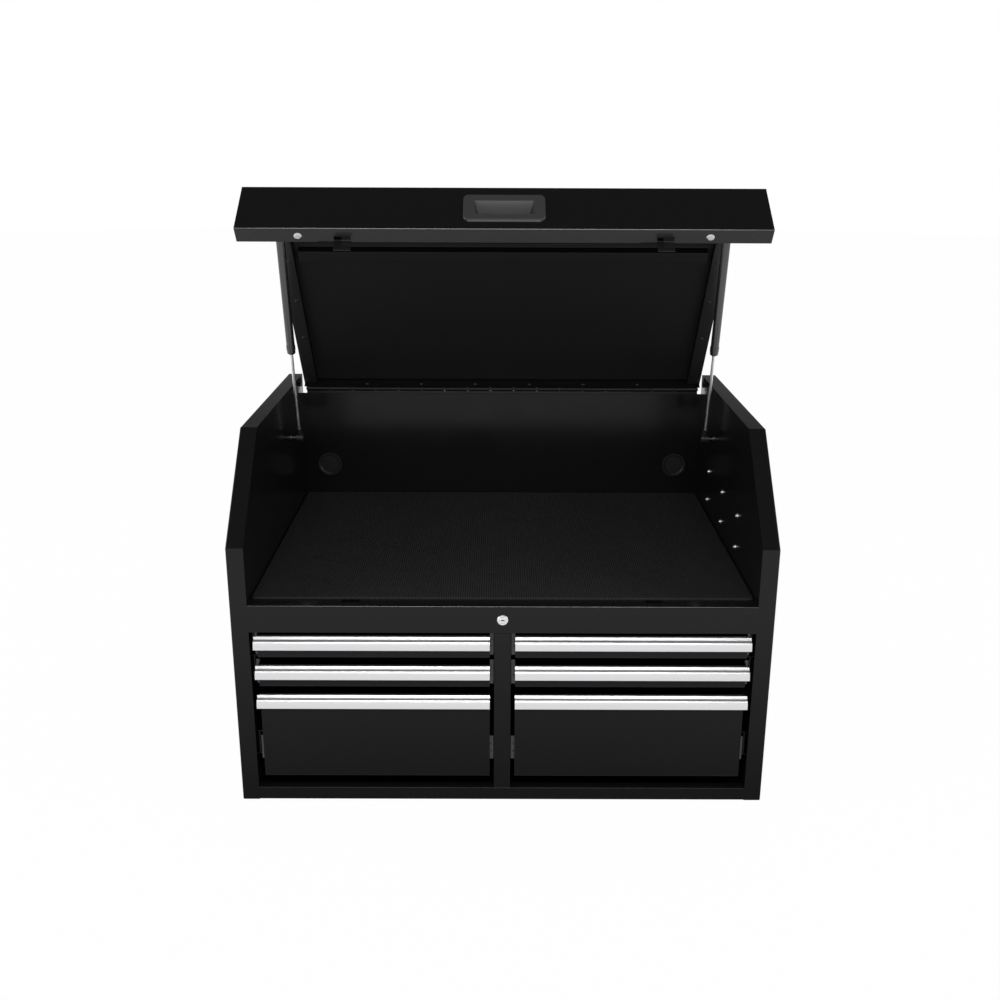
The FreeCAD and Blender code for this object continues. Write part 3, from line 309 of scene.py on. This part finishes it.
def stud_steel():
    finish = Finish("stud_steel", (0.10, 0.10, 0.105), roughness=0.35, metallic=1.0)
    finish.vary_roughness(finish.noise(scale=90, detail=4), low=0.3, high=0.45)
    return finish.material


def rolled_steel(name, colour, low, high):
    """Dark steel whose roughness runs in streaks along Y, and those streaks."""
    finish = Finish(name, colour, roughness=0.4, metallic=1.0)
    streaks = finish.noise(scale=30, detail=4, roughness=0.6, stretch=(20, 0.3, 20))
    finish.vary_roughness(streaks, low, high)
    return finish, streaks


def slide_steel():
    finish, streaks = rolled_steel("slide_steel", (0.08, 0.08, 0.083), low=0.28, high=0.45)
    finish.bump(streaks, height=0.00003, strength=0.2)
    return finish.material


def race_steel():
    finish, _ = rolled_steel("race_steel", (0.07, 0.07, 0.073), low=0.34, high=0.5)
    return finish.material


def lock_chrome():
    finish = Finish("lock_chrome", (0.80, 0.80, 0.81), roughness=0.35, metallic=1.0)
    finish.vary_roughness(finish.noise(scale=200, detail=4), low=0.3, high=0.4)
    return finish.material


def strut_black():
    finish = Finish("strut_black", (0.016, 0.016, 0.017), roughness=0.2, specular=1.0)
    finish.bump(finish.noise(scale=400, detail=2), height=0.00003, strength=0.25)
    return finish.material


def strut_rod_steel():
    finish = Finish("strut_rod_steel", (0.9, 0.9, 0.91), roughness=0.38, metallic=1.0)
    finish.vary_roughness(finish.noise(scale=120), low=0.32, high=0.44)
    return finish.material


def socket_plastic():
    finish = Finish("socket_plastic", (0.012, 0.012, 0.0125), roughness=0.4, specular=0.45)
    finish.bump(finish.noise(scale=700), height=0.00006, strength=0.35)
    return finish.material


# Each function above makes the finish of the slot that it is named after
FINISHES = {make.__name__: make for make in (
    black_enamel, lid_enamel, hinge_enamel, mat_rubber, grommet_plastic, bezel_plastic, pull_aluminium,
    zinc_steel, stud_steel, slide_steel, race_steel, lock_chrome, strut_black, strut_rod_steel,
    socket_plastic,
)}


def finish_pieces():
    made = {slot: make() for slot, make in FINISHES.items()}
    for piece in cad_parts.values():
        slot = piece.data.materials[0].name.split(".")[0]
        piece.data.materials.clear()
        piece.data.materials.append(made[slot])


# Folded edges

def round_edges(piece, radius):
    weld = piece.modifiers.new("weld", "WELD")
    weld.merge_threshold = WELD
    bend = piece.modifiers.new("bend", "BEVEL")
    bend.width = radius
    bend.segments = BEND_STEPS
    bend.limit_method = "ANGLE"
    bend.angle_limit = BEND_ANGLE
    bend.use_clamp_overlap = True
    shade = piece.modifiers.new("shade", "WEIGHTED_NORMAL")
    shade.keep_sharp = True


# Studio

def make_camera():
    yaw, pitch, roll = (math.radians(angle) for angle in (CAMERA_YAW, CAMERA_PITCH, CAMERA_ROLL))
    level = math.cos(pitch)
    forward = Vector((math.sin(yaw) * level, math.cos(yaw) * level, -math.sin(pitch)))
    flat_right = Vector((math.cos(yaw), -math.sin(yaw), 0))
    flat_up = flat_right.cross(forward)
    right = flat_right * math.cos(roll) + flat_up * math.sin(roll)
    up = flat_up * math.cos(roll) - flat_right * math.sin(roll)
    camera = bpy.data.objects.new("camera", bpy.data.cameras.new("camera"))
    bpy.context.scene.collection.objects.link(camera)
    turn = Matrix((right, up, -forward)).transposed().to_4x4()
    camera.matrix_world = Matrix.Translation(CAMERA_PLACE) @ turn
    camera.data.sensor_width = SENSOR
    camera.data.lens = FOCAL_LENGTH
    camera.data.clip_end = CAMERA_REACH
    bpy.context.scene.camera = camera


def seen_share(tree, camera, mirror, dull):
    """A share for the camera's rays, one for mirrors and glass, and one for light on a dull surface."""
    path = tree.nodes.new("ShaderNodeLightPath")
    total = calculated(tree, "MULTIPLY", path.outputs["Is Camera Ray"], camera)
    shares = {"Is Glossy Ray": mirror, "Is Transmission Ray": mirror, "Is Diffuse Ray": dull}
    for ray, share in shares.items():
        part = calculated(tree, "MULTIPLY", path.outputs[ray], share)
        total = calculated(tree, "MAXIMUM", total, part)
    return total


def mix_shaders(tree, share, plain, seen, output):
    """Joins a mix of two shaders to the tree's output, by the share of the second one."""
    mix = tree.nodes.new("ShaderNodeMixShader")
    tree.links.new(share, mix.inputs["Fac"])
    tree.links.new(plain.outputs[0], mix.inputs[1])
    tree.links.new(seen.outputs[0], mix.inputs[2])
    tree.links.new(mix.outputs[0], tree.nodes[output].inputs["Surface"])


def ceiling_strength(tree):
    """Falls from white near the horizon to dark overhead, sooner behind the object; white to the camera."""
    way = tree.nodes.new("ShaderNodeSeparateXYZ")
    tree.links.new(tree.nodes.new("ShaderNodeTexCoord").outputs["Generated"], way.inputs["Vector"])
    back = calculated(tree, "MULTIPLY", way.outputs["Y"], CEILING_TILT)
    fall = tree.nodes.new("ShaderNodeMapRange")
    fall.interpolation_type = "SMOOTHSTEP"
    fall.inputs["From Min"].default_value = CEILING_START
    fall.inputs["From Max"].default_value = CEILING_END
    fall.inputs["To Min"].default_value = STUDIO_WHITE
    fall.inputs["To Max"].default_value = CEILING_LEVEL
    tree.links.new(calculated(tree, "ADD", way.outputs["Z"], back), fall.inputs["Value"])
    camera_ray = tree.nodes.new("ShaderNodeLightPath").outputs["Is Camera Ray"]
    return calculated(tree, "MAXIMUM", fall.outputs["Result"], camera_ray)


def make_world():
    """Plain light for dull surfaces, and the studio's walls and ceiling for the camera and reflections."""
    world = bpy.data.worlds.new("studio")
    bpy.context.scene.world = world
    world.use_nodes = True
    tree = world.node_tree
    plain = tree.nodes["Background"]
    seen = tree.nodes.new("ShaderNodeBackground")
    for sky in (plain, seen):
        sky.inputs["Color"].default_value = (1, 1, 1, 1)
    plain.inputs["Strength"].default_value = DIFFUSE_SKY
    tree.links.new(ceiling_strength(tree), seen.inputs["Strength"])
    share = seen_share(tree, camera=1.0, mirror=1.0, dull=0.0)
    mix_shaders(tree, share, plain, seen, "World Output")


def make_floor():
    """A pale floor that glows to the camera and to reflections, and keeps a soft shadow."""
    bpy.ops.mesh.primitive_circle_add(vertices=FLOOR_SIDES, radius=FLOOR_RADIUS, fill_type="NGON")
    floor = bpy.context.object
    floor.name = "floor"
    material = bpy.data.materials.new("floor_paper")
    material.use_nodes = True
    tree = material.node_tree
    tree.nodes.remove(tree.nodes["Principled BSDF"])
    paper = tree.nodes.new("ShaderNodeBsdfDiffuse")
    paper.inputs["Color"].default_value = FLOOR_PAPER
    glow = tree.nodes.new("ShaderNodeEmission")
    glow.inputs["Strength"].default_value = STUDIO_WHITE
    share = seen_share(tree, camera=FLOOR_GLOW, mirror=FLOOR_MIRROR, dull=FLOOR_BOUNCE)
    mix_shaders(tree, share, paper, glow, "Material Output")
    floor.data.materials.append(material)


def add_lamp(name, place, width, height, power):
    """A rectangular lamp: place, width and height in metres, power in watts."""
    data = bpy.data.lights.new(name, "AREA")
    data.shape = "RECTANGLE"
    data.size = width
    data.size_y = height
    data.energy = power
    lamp = bpy.data.objects.new(name, data)
    bpy.context.scene.collection.objects.link(lamp)
    lamp.location = place
    lamp.rotation_euler = (LAMP_AIM - Vector(place)).to_track_quat("-Z", "Y").to_euler()


def make_lamps():
    """A wide lamp ahead and above, and an upright one on each side."""
    add_lamp("key", place=(0, -2.9, 3.1), width=2.2, height=0.8, power=40)
    for name, across in (("left", -3.0), ("right", 3.0)):
        add_lamp(name, place=(across, -0.6, 1.8), width=1.0, height=2.2, power=25)


bpy.context.scene.view_settings.view_transform = "Standard"
finish_pieces()
for node, radius in BENDS.items():
    round_edges(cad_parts[node], radius)
make_camera()
make_world()
make_floor()
make_lamps()
